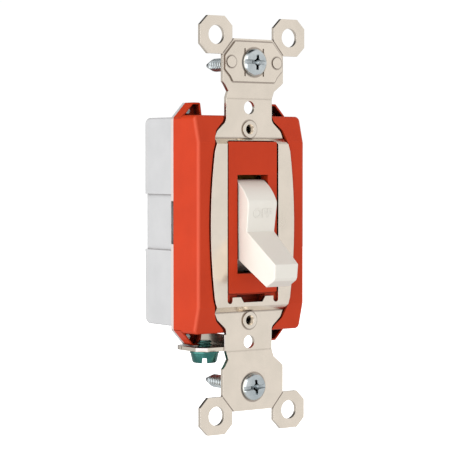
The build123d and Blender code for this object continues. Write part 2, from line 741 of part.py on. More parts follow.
with BuildPart() as base:
    with BuildSketch(upright()) as base_side:
        with Locations((seam_y, base_middle)):
            Rectangle(base_back - seam_y, base_height, align=(Align.MIN, Align.CENTER))
        fillet(base_side.vertices().group_by(Axis.X)[-1], base_end_radius)
    extrude(amount=base_half_width, both=True)
    side_faces = [face for face in base.faces() if abs(face.center().X) > base_half_width - near]
    side_edges = [edge for face in side_faces for edge in face.edges()]
    fillet([edge for edge in side_edges if edge.center().Y > seam_y + near], base_edge)
    # shallow recess across both long sides
    with BuildSketch(facing(base_back, body_rise + (side_recess_top + side_recess_bottom) / 2)):
        with GridLocations(2 * base_half_width, 0, 2, 1):
            Rectangle(2 * side_recess_depth, side_recess_top - side_recess_bottom)
    extrude(amount=base_back - seam_y, mode=Mode.SUBTRACT)
    # flange against the cover
    with BuildSketch(facing(seam_y + flange_thickness, body_rise)) as flange:
        Rectangle(2 * cover_half_width, 2 * cover_half_height)
        fillet(flange.vertices(), cover_corner)
        for side, end in four_corners:
            Polygon(*[(side * x, end * z) for x, z in corner_lug], align=None)
        with GridLocations(2 * rivet_x, 2 * rivet_z, 2, 2):
            Circle(rivet_r + fit_gap, mode=Mode.SUBTRACT)
    extrude(amount=flange_thickness)
    # hollow inside
    with BuildSketch(facing(base_inner, base_middle)):
        Rectangle(2 * (base_half_width - base_wall), base_height - 2 * base_wall)
    extrude(amount=base_inner - seam_y, mode=Mode.SUBTRACT)
    # notch in both long sides, just behind the cover, with a thicker wall inside it
    notch_floor_x = cover_half_width - seam_notch_depth
    notch_height = seam_notch_top - seam_notch_bottom
    with BuildSketch(facing(seam_y + seam_notch_back + notch_wall, seam_notch_middle)):
        with GridLocations(2 * notch_floor_x, 0, 2, 1):
            Rectangle(2 * notch_wall, notch_height + 2 * notch_wall)
    extrude(amount=seam_notch_back + notch_wall)
    with BuildSketch(facing(seam_y + seam_notch_back, seam_notch_middle)):
        with GridLocations(2 * cover_half_width, 0, 2, 1):
            Rectangle(2 * seam_notch_depth, notch_height)
    extrude(amount=seam_notch_back, mode=Mode.SUBTRACT)
    # rim that centres the cover
    with BuildSketch(facing(seam_y + rim_height, base_middle)):
        Rectangle(2 * (cover_inner_half_width - rim_gap), base_height - 2 * base_wall + 2 * rim_gap)
        Rectangle(
            2 * (cover_inner_half_width - rim_gap - rim_thickness),
            base_height - 2 * base_wall - 2 * rim_thickness,
            mode=Mode.SUBTRACT,
        )
        Rectangle(2 * (eyelet_block_half + rim_gap), base_height, mode=Mode.SUBTRACT)
    extrude(amount=2 * rim_height)
    # ribs beside the mechanism, with a post that closes each trunnion's bearing
    with BuildSketch(facing(base_inner, body_rise)):
        with GridLocations(2 * cheek_inner_x + rib_thickness, 0, 2, 1):
            Rectangle(rib_thickness, 2 * rib_half_height)
    extrude(amount=base_inner - seam_y - flange_thickness)
    with BuildSketch(facing(base_inner, body_rise)):
        with GridLocations(2 * cheek_inner_x + rib_thickness, 0, 2, 1):
            Rectangle(rib_thickness, 2 * trunnion_r)
    extrude(amount=base_inner - pivot_y)
    with BuildSketch(upright()):
        with Locations((pivot_y, body_rise)):
            Circle(trunnion_r + shaft_gap)
    extrude(amount=base_half_width / 2, both=True, mode=Mode.SUBTRACT)
    # windows for the terminal screws in the right wall, and wire holes in the back
    with BuildSketch(upright(base_half_width + past)):
        for end in both_ends:
            with Locations((terminal_y, body_rise + end * terminal_z)):
                Rectangle(2 * terminal_window, 2 * terminal_window)
    extrude(amount=terminal_x - base_half_width - past, mode=Mode.SUBTRACT)
    with BuildSketch(facing(base_back, body_rise)):
        for end in both_ends:
            for side in both_ends:
                with Locations((wire_entry_x, end * terminal_z + side * wire_entry_offset)):
                    Circle(wire_entry_r)
    extrude(amount=base_back - terminal_y, mode=Mode.SUBTRACT)
    # seats for the rubber stops
    bumper_radius_at = (drum_inner_r + drum_r) / 2
    bumper_angle = drum_end_angle + throw_half
    bumper_angle += math.degrees(math.asin((bumper_r + fit_gap) / bumper_radius_at))
    bumper_y = pivot_y - bumper_radius_at * math.cos(math.radians(bumper_angle))
    bumper_z = bumper_radius_at * math.sin(math.radians(bumper_angle))
    with BuildSketch(upright()):
        for end in both_ends:
            with Locations((bumper_y, body_rise + end * bumper_z)):
                Circle(bumper_r)
    extrude(amount=bumper_outer_x, both=True, mode=Mode.SUBTRACT)
base.part.label = "base"
export_step(base.part, "parts/base.step")

with BuildPart() as rubber_stops:
    with BuildSketch(upright(bumper_inner_x)):
        for end in both_ends:
            with Locations((bumper_y, body_rise + end * bumper_z)):
                Circle(bumper_r)
    extrude(amount=bumper_outer_x - bumper_inner_x)
    mirror(about=Plane.YZ)
rubber_stops.part.label = "rubber_stops"
export_step(rubber_stops.part, "parts/rubber_stops.step")

# ======================================== small rivets through the corner lugs
rivet_front = corner_lug_front + corner_lug_pocket_depth
rivet_back = seam_y + flange_thickness
with BuildPart() as housing_rivets:
    for head_back, length, radius in (
        (rivet_front, rivet_head_height, rivet_head_r),
        (rivet_back, rivet_back - rivet_front, rivet_r),
        (rivet_back + rivet_head_height, rivet_head_height, rivet_head_r),
    ):
        with BuildSketch(facing(head_back, body_rise)):
            with GridLocations(2 * rivet_x, 2 * rivet_z, 2, 2):
                Circle(radius)
        extrude(amount=length)
housing_rivets.part.label = "housing_rivets"
export_step(housing_rivets.part, "parts/housing_rivets.step")

# ======================================== toggle, turned down into its off position
throw = math.radians(throw_half)
inward = (0, math.cos(throw), math.sin(throw))       # from the tip through the pivot
across = (0, -math.sin(throw), math.cos(throw))
pivot = (0, pivot_y, body_rise)
toggle_side = Plane(origin=pivot, x_dir=inward, z_dir=(1, 0, 0))
toggle_above = Plane(origin=pivot, x_dir=inward, z_dir=across)


def along_lever(distance):
    """Plane square to the lever at a distance behind the pivot."""
    origin = tuple(start + distance * step for start, step in zip(pivot, inward))
    return Plane(origin=origin, x_dir=(1, 0, 0), z_dir=inward)


def drum_point(radius, angle):
    """Point on the drum, by its angle from the lever."""
    return (-radius * math.cos(math.radians(angle)), radius * math.sin(math.radians(angle)))


drum_corner = drum_point(drum_r, drum_corner_angle)
drum_end = drum_point(drum_r, drum_end_angle)
drum_middle = drum_point(drum_r, (drum_corner_angle + drum_end_angle) / 2)
drum_inner_end = drum_point(drum_inner_r, drum_end_angle)

with BuildPart() as toggle:
    with BuildSketch(toggle_side) as profile:
        with BuildLine():
            Polyline((0, lever_root_half), (-lever_root, lever_root_half), drum_corner)
            ThreePointArc(drum_corner, drum_middle, drum_end)
            Polyline(drum_end, drum_inner_end, (0, lever_root_half))
        make_face()
        fillet([v for v in profile.vertices() if abs(v.X - drum_corner[0]) < near], shoulder_blend)
        mirror(about=Plane.XZ)
        with BuildLine():
            Polyline(
                (0, lever_root_half),
                (-lever_root, lever_root_half),
                (nose_length - lever_reach, lever_tip_half),
                (-lever_reach, nose_half),
                (-lever_reach, -nose_half),
                (nose_length - lever_reach, -lever_tip_half),
                (-lever_root, -lever_root_half),
                (0, -lever_root_half),
                close=True,
            )
        make_face()
        Circle(hub_r)
    extrude(amount=toggle_half_width, both=True)
    # the sides draw in towards the tip
    with BuildSketch(toggle_above):
        Polygon(
            (drum_r, toggle_half_width),
            (-taper_start, toggle_half_width),
            (-lever_reach, toggle_tip_half_width),
            (-lever_reach, -toggle_tip_half_width),
            (-taper_start, -toggle_half_width),
            (drum_r, -toggle_half_width),
            align=None,
        )
    extrude(amount=drum_r + past, both=True, mode=Mode.INTERSECT)
    outside = drum_r * math.cos(math.radians(drum_corner_angle))
    outer_edges = [e for e in toggle.edges() if toggle_side.to_local_coords(e.center()).X < -outside]
    fillet(outer_edges, toggle_edge)
    # finger behind the hub, with the spring's bore
    with BuildSketch(toggle_side):
        Rectangle(finger_reach, 2 * finger_half, align=(Align.MIN, Align.CENTER))
    extrude(amount=finger_half_width, both=True)
    with BuildSketch(toggle_side):
        Circle(trunnion_r)
    extrude(amount=toggle_half_width + trunnion_length, both=True)
    with BuildSketch(along_lever(finger_reach)):
        Circle(spring_bore_r)
    extrude(amount=spring_bore_start - finger_reach, mode=Mode.SUBTRACT)
toggle.part.label = "toggle"
export_step(toggle.part, "parts/toggle.step")

# ======================================== plunger and its spring, in the finger
with BuildPart() as plunger:
    with BuildSketch(along_lever(plunger_stem_start)):
        Circle(plunger_r)
    extrude(amount=plunger_centre - plunger_stem_start)
    with BuildSketch(toggle_side):
        with Locations((plunger_centre, 0)):
            Circle(plunger_r)
            Rectangle(2 * plunger_r, 2 * plunger_r, align=(Align.CENTER, Align.MAX), mode=Mode.SUBTRACT)
    revolve(axis=Axis(pivot, inward))
plunger.part.label = "plunger"
export_step(plunger.part, "parts/plunger.step")

spring_start = spring_bore_start + spring_wire_r
spring_height = plunger_stem_start - spring_bore_start - 2 * spring_wire_r
with BuildPart() as plunger_spring:
    with BuildLine():
        coil = Helix(
            pitch=spring_height / spring_turns,
            height=spring_height,
            radius=spring_r,
            center=along_lever(spring_start).origin,
            direction=inward,
        )
    with BuildSketch(Plane(origin=coil @ 0, z_dir=coil % 0)):
        Circle(spring_wire_r)
    sweep(path=coil, is_frenet=True)
plunger_spring.part.label = "plunger_spring"
export_step(plunger_spring.part, "parts/plunger_spring.step")

# ======================================== rocker that the plunger throws over
tilt = math.radians(rocker_tilt)
along_rocker = (0, math.sin(tilt), math.cos(tilt))
rocker_side = Plane(origin=(0, rocker_y, body_rise), x_dir=along_rocker, z_dir=(1, 0, 0))
pivot_distance = rocker_y - pivot_y
# the dome's path seen from the rocker: nearest the bar in mid throw, farthest at both ends
path_middle = pivot_distance - plunger_centre
path_depth = pivot_distance - plunger_centre * math.cos(throw)
path_end_reach = plunger_centre * math.sin(throw) * math.cos(tilt) - path_depth * math.sin(tilt)
path_end_height = path_depth * math.cos(tilt) + plunger_centre * math.sin(throw) * math.sin(tilt)
path_rise = path_end_height - path_middle
path_r = (path_end_reach ** 2 + path_rise ** 2) / (2 * path_rise)
saddle_r = path_r + plunger_r + saddle_gap
saddle_half_angle = math.asin(path_end_reach / path_r) + math.radians(saddle_overrun)
saddle_reach = saddle_r * math.sin(saddle_half_angle)
saddle_centre = path_middle + path_r
saddle_top = saddle_centre - saddle_r * math.cos(saddle_half_angle)
bar_top = rocker_sheet / 2

with BuildPart() as contact_arm:
    with BuildSketch(rocker_side):
        Rectangle(2 * rocker_reach, rocker_sheet)
    extrude(amount=rocker_half_width, both=True)
    with BuildSketch(rocker_side):
        Circle(rocker_pin_r)
    extrude(amount=cradle_half, both=True)
contact_arm.part.label = "contact_arm"
export_step(contact_arm.part, "parts/contact_arm.step")

with BuildPart() as rocker_saddle:
    with BuildSketch(rocker_side):
        with BuildLine():
            ThreePointArc(
                (-saddle_reach, saddle_top), (0, saddle_centre - saddle_r), (saddle_reach, saddle_top)
            )
            Polyline(
                (saddle_reach, saddle_top),
                (saddle_reach + rocker_saddle_end, saddle_top),
                (saddle_reach + 2 * rocker_saddle_end, bar_top),
                (-saddle_reach - 2 * rocker_saddle_end, bar_top),
                (-saddle_reach - rocker_saddle_end, saddle_top),
                (-saddle_reach, saddle_top),
            )
        make_face()
        Circle(rocker_pin_r + fit_gap, mode=Mode.SUBTRACT)
    extrude(amount=rocker_half_width, both=True)
rocker_saddle.part.label = "rocker_saddle"
export_step(rocker_saddle.part, "parts/rocker_saddle.step")

with BuildPart() as moving_contact:
    contact_seat = rocker_side.from_local_coords((-contact_arm_reach, -bar_top, 0))
    with BuildSketch(Plane(origin=contact_seat, x_dir=(1, 0, 0), z_dir=-rocker_side.y_dir)):
        Circle(contact_r)
    extrude(amount=contact_height)
moving_contact.part.label = "moving_contact"
export_step(moving_contact.part, "parts/moving_contact.step")

# ======================================== brass terminals
strip_front = base_inner - brass
strip_edge = rib_half_height + strip_margin
contact_back = bar_top + contact_height
closed_contact_y = rocker_y + contact_arm_reach * math.sin(tilt) + contact_back * math.cos(tilt)
closed_contact_y += contact_r * math.sin(tilt)
fixed_contact_z = body_rise - contact_arm_reach * math.cos(tilt) + contact_back * math.sin(tilt)
strip_top = terminal_z + terminal_plate_half

with BuildPart() as fixed_contact:
    with BuildSketch(facing(strip_front, fixed_contact_z)):
        Circle(contact_r)
    extrude(amount=strip_front - closed_contact_y - contact_gap)
fixed_contact.part.label = "fixed_contact"
export_step(fixed_contact.part, "parts/fixed_contact.step")

for terminal_name, end, inner_half, inner_end in (
    ("line_terminal", 1, cradle_half, -cradle_ear_half - strip_margin),
    ("load_terminal", -1, contact_r + contact_margin, contact_arm_reach - contact_r - contact_margin),
):
    with BuildPart() as terminal:
        with BuildSketch(facing(base_inner, body_rise)):
            with BuildLine():
                Polyline(
                    (-inner_half, end * inner_end),
                    (inner_half, end * inner_end),
                    (inner_half, end * strip_edge),
                    (clamp_x, end * strip_edge),
                    (clamp_x, end * strip_top),
                    (-inner_half, end * strip_top),
                    close=True,
                )
            make_face()
        extrude(amount=brass)
        with BuildSketch(upright(terminal_x)):
            with Locations((terminal_plate_front, body_rise + end * terminal_z)):
                Rectangle(
                    base_inner - terminal_plate_front,
                    2 * terminal_plate_half,
                    align=(Align.MIN, Align.CENTER),
                )
            with Locations((terminal_y, body_rise + end * terminal_z)):
                Circle(terminal_thread_r + thread_gap, mode=Mode.SUBTRACT)
        extrude(amount=brass)
        if end > 0:
            # cradle ears that carry the rocker's pin
            with BuildSketch(upright(cradle_half - brass)) as ear:
                with Locations((strip_front, body_rise)):
                    Rectangle(
                        strip_front - rocker_y + cradle_ear_half,
                        2 * cradle_ear_half,
                        align=(Align.MAX, Align.CENTER),
                    )
                fillet(ear.vertices().group_by(Axis.X)[0], cradle_ear_corner)
                with Locations((rocker_y, body_rise)):
                    Circle(rocker_pin_r + shaft_gap, mode=Mode.SUBTRACT)
            extrude(amount=brass)
            mirror(about=Plane.YZ)
    terminal.part.label = terminal_name
    export_step(terminal.part, f"parts/{terminal_name}.step")

# ======================================== clamp plates and their screws, backed off for a wire
clamp_inner_x = clamp_x + clamp_open
head_inner_x = clamp_inner_x + clamp_sheet
for side_name, end in (("line", 1), ("load", -1)):
    screw_z = body_rise + end * terminal_z
    with BuildPart() as clamp_plate:
        with BuildSketch(upright(clamp_inner_x)):
            with Locations((terminal_y, screw_z)):
                Rectangle(2 * clamp_half, 2 * clamp_half)
                Circle(terminal_thread_r + thread_gap, mode=Mode.SUBTRACT)
        extrude(amount=clamp_sheet)
        fillet(clamp_plate.edges().filter_by(Axis.X), clamp_corner)
    clamp_plate.part.label = f"{side_name}_clamp_plate"
    export_step(clamp_plate.part, f"parts/{side_name}_clamp_plate.step")

    with BuildPart() as terminal_screw:
        with BuildSketch(upright(head_inner_x)):
            with Locations((terminal_y, screw_z)):
                Circle(terminal_head_r)
        extrude(amount=terminal_head_height)
        chamfer(terminal_screw.edges().group_by(Axis.X)[-1], terminal_chamfer)
        with BuildSketch(upright(head_inner_x)):
            with Locations((terminal_y, screw_z)):
                Circle(terminal_thread_r)
        extrude(amount=-terminal_shank)
        chamfer(terminal_screw.edges().group_by(Axis.X)[0], terminal_chamfer)
        with BuildSketch(upright(head_inner_x + terminal_head_height)):
            with Locations((terminal_y, screw_z)):
                Rectangle(2 * (terminal_head_r + past), terminal_slot_width)
        extrude(amount=-terminal_slot_depth, mode=Mode.SUBTRACT)
    terminal_screw.part.label = f"{side_name}_terminal_screw"
    export_step(terminal_screw.part, f"parts/{side_name}_terminal_screw.step")
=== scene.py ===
"""Looks for the toggle wall switch: materials, detailed screws, moulded words, light and camera.

Everything is in metres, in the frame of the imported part: +Z up along the strap, the toggle
faces -Y, +X to the right seen from the front, the wall plane at Y = 0.
"""
import json
import math

import bmesh
import bpy
from mathutils import Matrix, Vector


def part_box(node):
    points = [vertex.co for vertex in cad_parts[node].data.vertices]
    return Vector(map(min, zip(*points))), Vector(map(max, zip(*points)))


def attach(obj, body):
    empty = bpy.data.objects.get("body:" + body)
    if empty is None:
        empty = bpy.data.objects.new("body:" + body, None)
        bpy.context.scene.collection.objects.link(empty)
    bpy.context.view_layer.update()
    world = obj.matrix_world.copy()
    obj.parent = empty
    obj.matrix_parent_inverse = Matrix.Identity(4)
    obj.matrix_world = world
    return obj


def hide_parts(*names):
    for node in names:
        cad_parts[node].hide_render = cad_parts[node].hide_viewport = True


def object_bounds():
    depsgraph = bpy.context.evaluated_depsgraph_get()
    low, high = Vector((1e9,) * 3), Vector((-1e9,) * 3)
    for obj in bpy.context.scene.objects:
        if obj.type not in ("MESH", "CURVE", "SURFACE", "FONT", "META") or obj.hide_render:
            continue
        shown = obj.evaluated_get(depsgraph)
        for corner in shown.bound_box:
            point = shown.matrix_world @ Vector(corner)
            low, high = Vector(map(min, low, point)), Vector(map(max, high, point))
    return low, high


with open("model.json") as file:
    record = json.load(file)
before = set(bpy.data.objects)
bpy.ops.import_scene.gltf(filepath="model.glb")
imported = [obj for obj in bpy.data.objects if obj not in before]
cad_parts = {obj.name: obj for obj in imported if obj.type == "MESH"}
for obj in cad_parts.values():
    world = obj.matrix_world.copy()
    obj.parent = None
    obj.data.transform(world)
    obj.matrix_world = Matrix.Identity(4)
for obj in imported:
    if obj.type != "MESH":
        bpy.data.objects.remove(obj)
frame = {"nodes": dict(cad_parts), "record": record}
cad_low, cad_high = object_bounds()

MM = 0.001


# ======================================== node helpers
MIX_COLOUR_INPUTS = (0, 6, 7)        # the mix node's factor and its two colours
MIX_COLOUR_OUTPUT = 2
EDGE_TURNED = 0.80                   # cosine of the turn at which an edge counts in full
EDGE_FLAT = 0.995                    # and at which it stops counting
FINE_SAMPLES = 6                     # of the rounded edges and the crevices


def new_tree(name):
    """An empty material and its node tree."""
    material = bpy.data.materials.new(name)
    material.use_nodes = True
    material.node_tree.nodes.clear()
    return material, material.node_tree


def plug(tree, socket, value):
    """Sets an input to a number or a colour, or links another node's output to it."""
    if isinstance(value, bpy.types.NodeSocket):
        tree.links.new(value, socket)
    else:
        socket.default_value = value


def add_node(tree, kind, inputs=None, **settings):
    """A node with its settings, and with its inputs set to numbers or linked to other nodes."""
    node = tree.nodes.new(kind)
    for name, value in settings.items():
        setattr(node, name, value)
    for key, value in (inputs or {}).items():
        plug(tree, node.inputs[key], value)
    return node


def colour(red, green, blue):
    """An opaque colour, in linear light."""
    return (red, green, blue, 1.0)


def blend_colours(tree, factor, first, second):
    """Mixes two colours by a factor from 0 to 1."""
    mix = add_node(tree, "ShaderNodeMix", data_type="RGBA")
    for index, value in zip(MIX_COLOUR_INPUTS, (factor, first, second)):
        plug(tree, mix.inputs[index], value)
    return mix.outputs[MIX_COLOUR_OUTPUT]


def multiply(tree, first, second):
    return add_node(tree, "ShaderNodeMath", {0: first, 1: second}, operation="MULTIPLY").outputs[0]


def noise(tree, place, size, detail=3.0, roughness=0.55, stretch=None):
    """Noise whose blotches are about size across, from 0 to 1."""
    if stretch is not None:
        place = add_node(tree, "ShaderNodeMapping", {"Vector": place, "Scale": stretch}).outputs[0]
    inputs = {"Vector": place, "Scale": 1.0 / size, "Detail": detail, "Roughness": roughness}
    return add_node(tree, "ShaderNodeTexNoise", inputs).outputs[0]


def spread(tree, value, low_in, high_in, low_out, high_out):
    """Maps a value from one range to another, and holds it inside."""
    inputs = {0: value, 1: low_in, 2: high_in, 3: low_out, 4: high_out}
    return add_node(tree, "ShaderNodeMapRange", inputs).outputs[0]


def object_place(tree):
    """Where a point lies in its own object."""
    return add_node(tree, "ShaderNodeTexCoord").outputs["Object"]


def soft_edges(tree, radius):
    """A rounded normal, and a mask that is 1 along edges and 0 on open faces."""
    rounded = add_node(tree, "ShaderNodeBevel", {"Radius": radius}, samples=FINE_SAMPLES).outputs[0]
    plain = add_node(tree, "ShaderNodeNewGeometry").outputs["Normal"]
    both = {0: rounded, 1: plain}
    alike = add_node(tree, "ShaderNodeVectorMath", both, operation="DOT_PRODUCT").outputs["Value"]
    return rounded, spread(tree, alike, EDGE_TURNED, EDGE_FLAT, 1.0, 0.0)


def bump(tree, height, depth, normal, strength=1.0):
    """The normal, disturbed by relief that is depth high where height is 1."""
    inputs = {"Strength": strength, "Distance": depth, "Height": height, "Normal": normal}
    return add_node(tree, "ShaderNodeBump", inputs).outputs[0]


# the mask for painted shade: occlusion finds gaps and the walls of crevice and recess, which are then
# darkened
def crevice_shade_mask(tree, reach, closed, opened, samples=FINE_SAMPLES):
    """1 on open faces, falling to 0 where other surfaces stand close by, within the reach."""
    sky = add_node(tree, "ShaderNodeAmbientOcclusion", {"Distance": reach}, samples=samples).outputs["AO"]
    return spread(tree, sky, closed, opened, 0.0, 1.0)


def facing_parts(tree):
    """How far a face looks along the part's own X, Y and Z, each from 0 to 1."""
    world_normal = add_node(tree, "ShaderNodeNewGeometry").outputs["Normal"]
    normal = add_node(tree, "ShaderNodeVectorTransform", {0: world_normal}, vector_type="NORMAL",
                      convert_from="WORLD", convert_to="OBJECT").outputs[0]
    size = add_node(tree, "ShaderNodeVectorMath", {0: normal}, operation="ABSOLUTE").outputs[0]
    return add_node(tree, "ShaderNodeSeparateXYZ", {0: size}).outputs


def rounded_uprights(tree):
    """1 on rounded upright edges, between the part's front and its sides, and 0 on flat faces."""
    parts = facing_parts(tree)
    return spread(tree, multiply(tree, parts["X"], parts["Y"]), 0.03, 0.50, 0.0, 1.0)


def outer_band(tree, place, start):
    """1 where the part reaches further out than start on either side, and 0 nearer its middle."""
    size = add_node(tree, "ShaderNodeVectorMath", {0: place}, operation="ABSOLUTE").outputs[0]
    across = add_node(tree, "ShaderNodeSeparateXYZ", {0: size}).outputs["X"]
    fade = 0.1 * MM
    return spread(tree, across, start, start + fade, 0.0, 1.0)


def finish_material(tree, shader):
    output = add_node(tree, "ShaderNodeOutputMaterial")
    tree.links.new(shader.outputs[0], output.inputs[0])


# ======================================== materials
# flange_highlight, a pale pink painted highlight, covers the base's outermost band past this
FLANGE_START = 16.75 * MM            # the base's flange stands out past this on both sides
# how far the painted shade reaches, in tight gaps and in wide pockets
NEAR_SHADE_REACH = 0.9 * MM                  # reach of the narrow crevices, and of the wide pockets
WIDE_SHADE_REACH = 5.0 * MM
# the painted fold shade: how far from a fold it reaches, and its samples
FOLD_SHADE_REACH = 0.5 * MM                # how far from a fold in sheet metal its line is seen
FOLD_SHADE_SAMPLES = 16
GLOSS_SWING = 0.07                   # how far plastic's roughness strays to either side


def moulded(name, body, shade, edge, gap_shade, rough, grain=0.35 * MM, depth=0.012 * MM,
            edge_radius=0.14 * MM, coat=0.0, specular=0.5, crest=None, flange_highlight=None, level_face_shade=None):
    """Moulded plastic: cloudy colour, a fine moulded grain, uneven gloss, soft edges, painted shade in
    gaps.

    body and shade are its two tones, edge is the tone of edges, partly wear and partly a painted
    highlight, and gap_shade is painted shade in gaps. crest is a painted highlight on rounded upright
    edges, flange_highlight a pale pink painted highlight on the outermost band on both sides, and
    level_face_shade painted shade on the faces that look up or down.
    """
    material, tree = new_tree(name)
    place = object_place(tree)
    cloud_size, flow_size = 9 * MM, 4 * MM
    clouds = noise(tree, place, cloud_size, detail=4.0)
    flow = noise(tree, place, flow_size, detail=2.0, stretch=(1.0, 1.0, 0.22))
    fine = noise(tree, place, grain, detail=4.0, roughness=0.6)
    tone = blend_colours(tree, spread(tree, clouds, 0.32, 0.68, 0.0, 1.0), body, shade)
    tone = blend_colours(tree, spread(tree, flow, 0.5, 0.85, 0.0, 0.35), tone, shade)
    normal, edges = soft_edges(tree, edge_radius)
    # lighter edges: partly moulded wear, partly a painted highlight along the edges
    wear_and_highlight = multiply(tree, edges, spread(tree, fine, 0.3, 0.6, 0.35, 0.8))
    tone = blend_colours(tree, wear_and_highlight, tone, edge)
    # painted highlight: the crest tone brightens the rounded upright edges between front and sides
    if crest is not None:
        tone = blend_colours(tree, rounded_uprights(tree), tone, crest)
    # painted shade: faces that look up or down are darkened toward level_face_shade
    if level_face_shade is not None:
        level_faces = spread(tree, facing_parts(tree)["Z"], 0.40, 0.85, 0.0, 1.0)
        tone = blend_colours(tree, level_faces, tone, level_face_shade)
    # painted highlight, tinted pale pink, on the outermost band on both sides
    if flange_highlight is not None:
        tone = blend_colours(tree, outer_band(tree, place, FLANGE_START), tone, flange_highlight)
    # painted shade: gaps and pockets darkened toward the gap_shade colour
    tone = blend_colours(tree, crevice_shade_mask(tree, NEAR_SHADE_REACH, 0.25, 0.72), gap_shade, tone)
    tone = blend_colours(tree, crevice_shade_mask(tree, WIDE_SHADE_REACH, 0.10, 0.42), gap_shade, tone)
    gloss = spread(tree, fine, 0.25, 0.75, rough - GLOSS_SWING, rough + GLOSS_SWING)
    normal = bump(tree, fine, depth, normal)
    normal = bump(tree, clouds, 6 * depth, normal, strength=0.35)
    inputs = {"Base Color": tone, "Roughness": gloss, "Normal": normal, "Coat Weight": coat,
              "Coat Roughness": 0.25, "Specular IOR Level": specular}
    finish_material(tree, add_node(tree, "ShaderNodeBsdfPrincipled", inputs))
    return material


def plated(name, body, shade, edge, rough, metallic=1.0, streak=(1.0, 1.0, 0.2), pit=0.25 * MM,
           depth=0.008 * MM, edge_radius=0.10 * MM, gap_shade=colour(0.05, 0.045, 0.04), reach=0.5 * MM,
           gap_shade_range=(0.20, 0.70), corner=None, recess_shade_reach=None, fold_shade=None):
    """Plated metal: patches, rolling streaks, tiny pits, brighter edges from wear and painted highlight,
    painted shade in gaps.

    body and shade are its two tones, edge is the tone of edges, partly wear and partly a painted
    highlight, and gap_shade is painted shade in gaps. reach is how near a gap's walls stand, and
    gap_shade_range how closed a gap is when its painted shade is full and when it starts. corner is
    painted shade on faces that look half to the front and half to the side, recess_shade_reach is
    the reach of painted shade in deeper recesses, and fold_shade is painted shade along the folds of
    sheet metal.
    """
    material, tree = new_tree(name)
    place = object_place(tree)
    patch_size, streak_size = 6 * MM, 0.9 * MM
    patches = noise(tree, place, patch_size, detail=5.0, roughness=0.6)
    streaks = noise(tree, place, streak_size, detail=3.0, stretch=streak)
    pits = noise(tree, place, pit, detail=3.0, roughness=0.65)
    tone = blend_colours(tree, spread(tree, patches, 0.35, 0.65, 0.0, 1.0), body, shade)
    tone = blend_colours(tree, spread(tree, streaks, 0.45, 0.8, 0.0, 0.4), tone, shade)
    normal, edges = soft_edges(tree, edge_radius)
    # lighter edges: partly wear, partly a painted highlight along the edges
    tone = blend_colours(tree, spread(tree, edges, 0.0, 1.0, 0.0, 0.8), tone, edge)
    # painted shade: the corner tone darkens the rounded upright edges between front and sides
    if corner is not None:
        tone = blend_colours(tree, rounded_uprights(tree), tone, corner)
    # painted shade: gaps darkened toward the gap_shade colour
    tone = blend_colours(tree, crevice_shade_mask(tree, reach, *gap_shade_range), gap_shade, tone)
    # painted shade in recesses, over a wider reach
    if recess_shade_reach is not None:
        tone = blend_colours(tree, crevice_shade_mask(tree, recess_shade_reach, 0.30, 0.62), gap_shade, tone)
    # painted shade along the folds of sheet metal, toward fold_shade
    if fold_shade is not None:
        folds = crevice_shade_mask(tree, FOLD_SHADE_REACH, 0.90, 0.99, samples=FOLD_SHADE_SAMPLES)
        tone = blend_colours(tree, folds, fold_shade, tone)
    gloss = spread(tree, patches, 0.3, 0.7, rough - 0.06, rough + 0.08)
    normal = bump(tree, pits, depth, normal)
    normal = bump(tree, streaks, 2 * depth, normal, strength=0.4)
    inputs = {"Base Color": tone, "Roughness": gloss, "Normal": normal, "Metallic": metallic}
    finish_material(tree, add_node(tree, "ShaderNodeBsdfPrincipled", inputs))
    return material


def rubber(name, body, shade):
    """Dull rubber with dust on it."""
    material, tree = new_tree(name)
    place = object_place(tree)
    dust = noise(tree, place, 1.2 * MM, detail=5.0)
    grain = noise(tree, place, 0.2 * MM, detail=3.0)
    normal, edges = soft_edges(tree, 0.2 * MM)
    tone = blend_colours(tree, spread(tree, dust, 0.4, 0.75, 0.0, 1.0), body, shade)
    tone = blend_colours(tree, spread(tree, edges, 0.0, 1.0, 0.0, 0.5), tone, shade)
    gloss = spread(tree, grain, 0.3, 0.7, 0.62, 0.85)
    inputs = {"Base Color": tone, "Roughness": gloss, "Normal": bump(tree, grain, 0.02 * MM, normal)}
    finish_material(tree, add_node(tree, "ShaderNodeBsdfPrincipled", inputs))
    return material


def fibre_board(name, body, shade):
    """Pressed fibre with strands in it."""
    material, tree = new_tree(name)
    place = object_place(tree)
    strands = noise(tree, place, 0.5 * MM, detail=6.0, stretch=(0.2, 1.0, 1.0))
    felt = noise(tree, place, 0.18 * MM, detail=4.0)
    normal, edges = soft_edges(tree, 0.12 * MM)
    tone = blend_colours(tree, spread(tree, strands, 0.3, 0.7, 0.0, 1.0), body, shade)
    tone = blend_colours(tree, spread(tree, edges, 0.0, 1.0, 0.0, 0.4), tone, shade)
    gloss = spread(tree, felt, 0.3, 0.7, 0.7, 0.95)
    inputs = {"Base Color": tone, "Roughness": gloss, "Normal": bump(tree, strands, 0.03 * MM, normal)}
    finish_material(tree, add_node(tree, "ShaderNodeBsdfPrincipled", inputs))
    return material


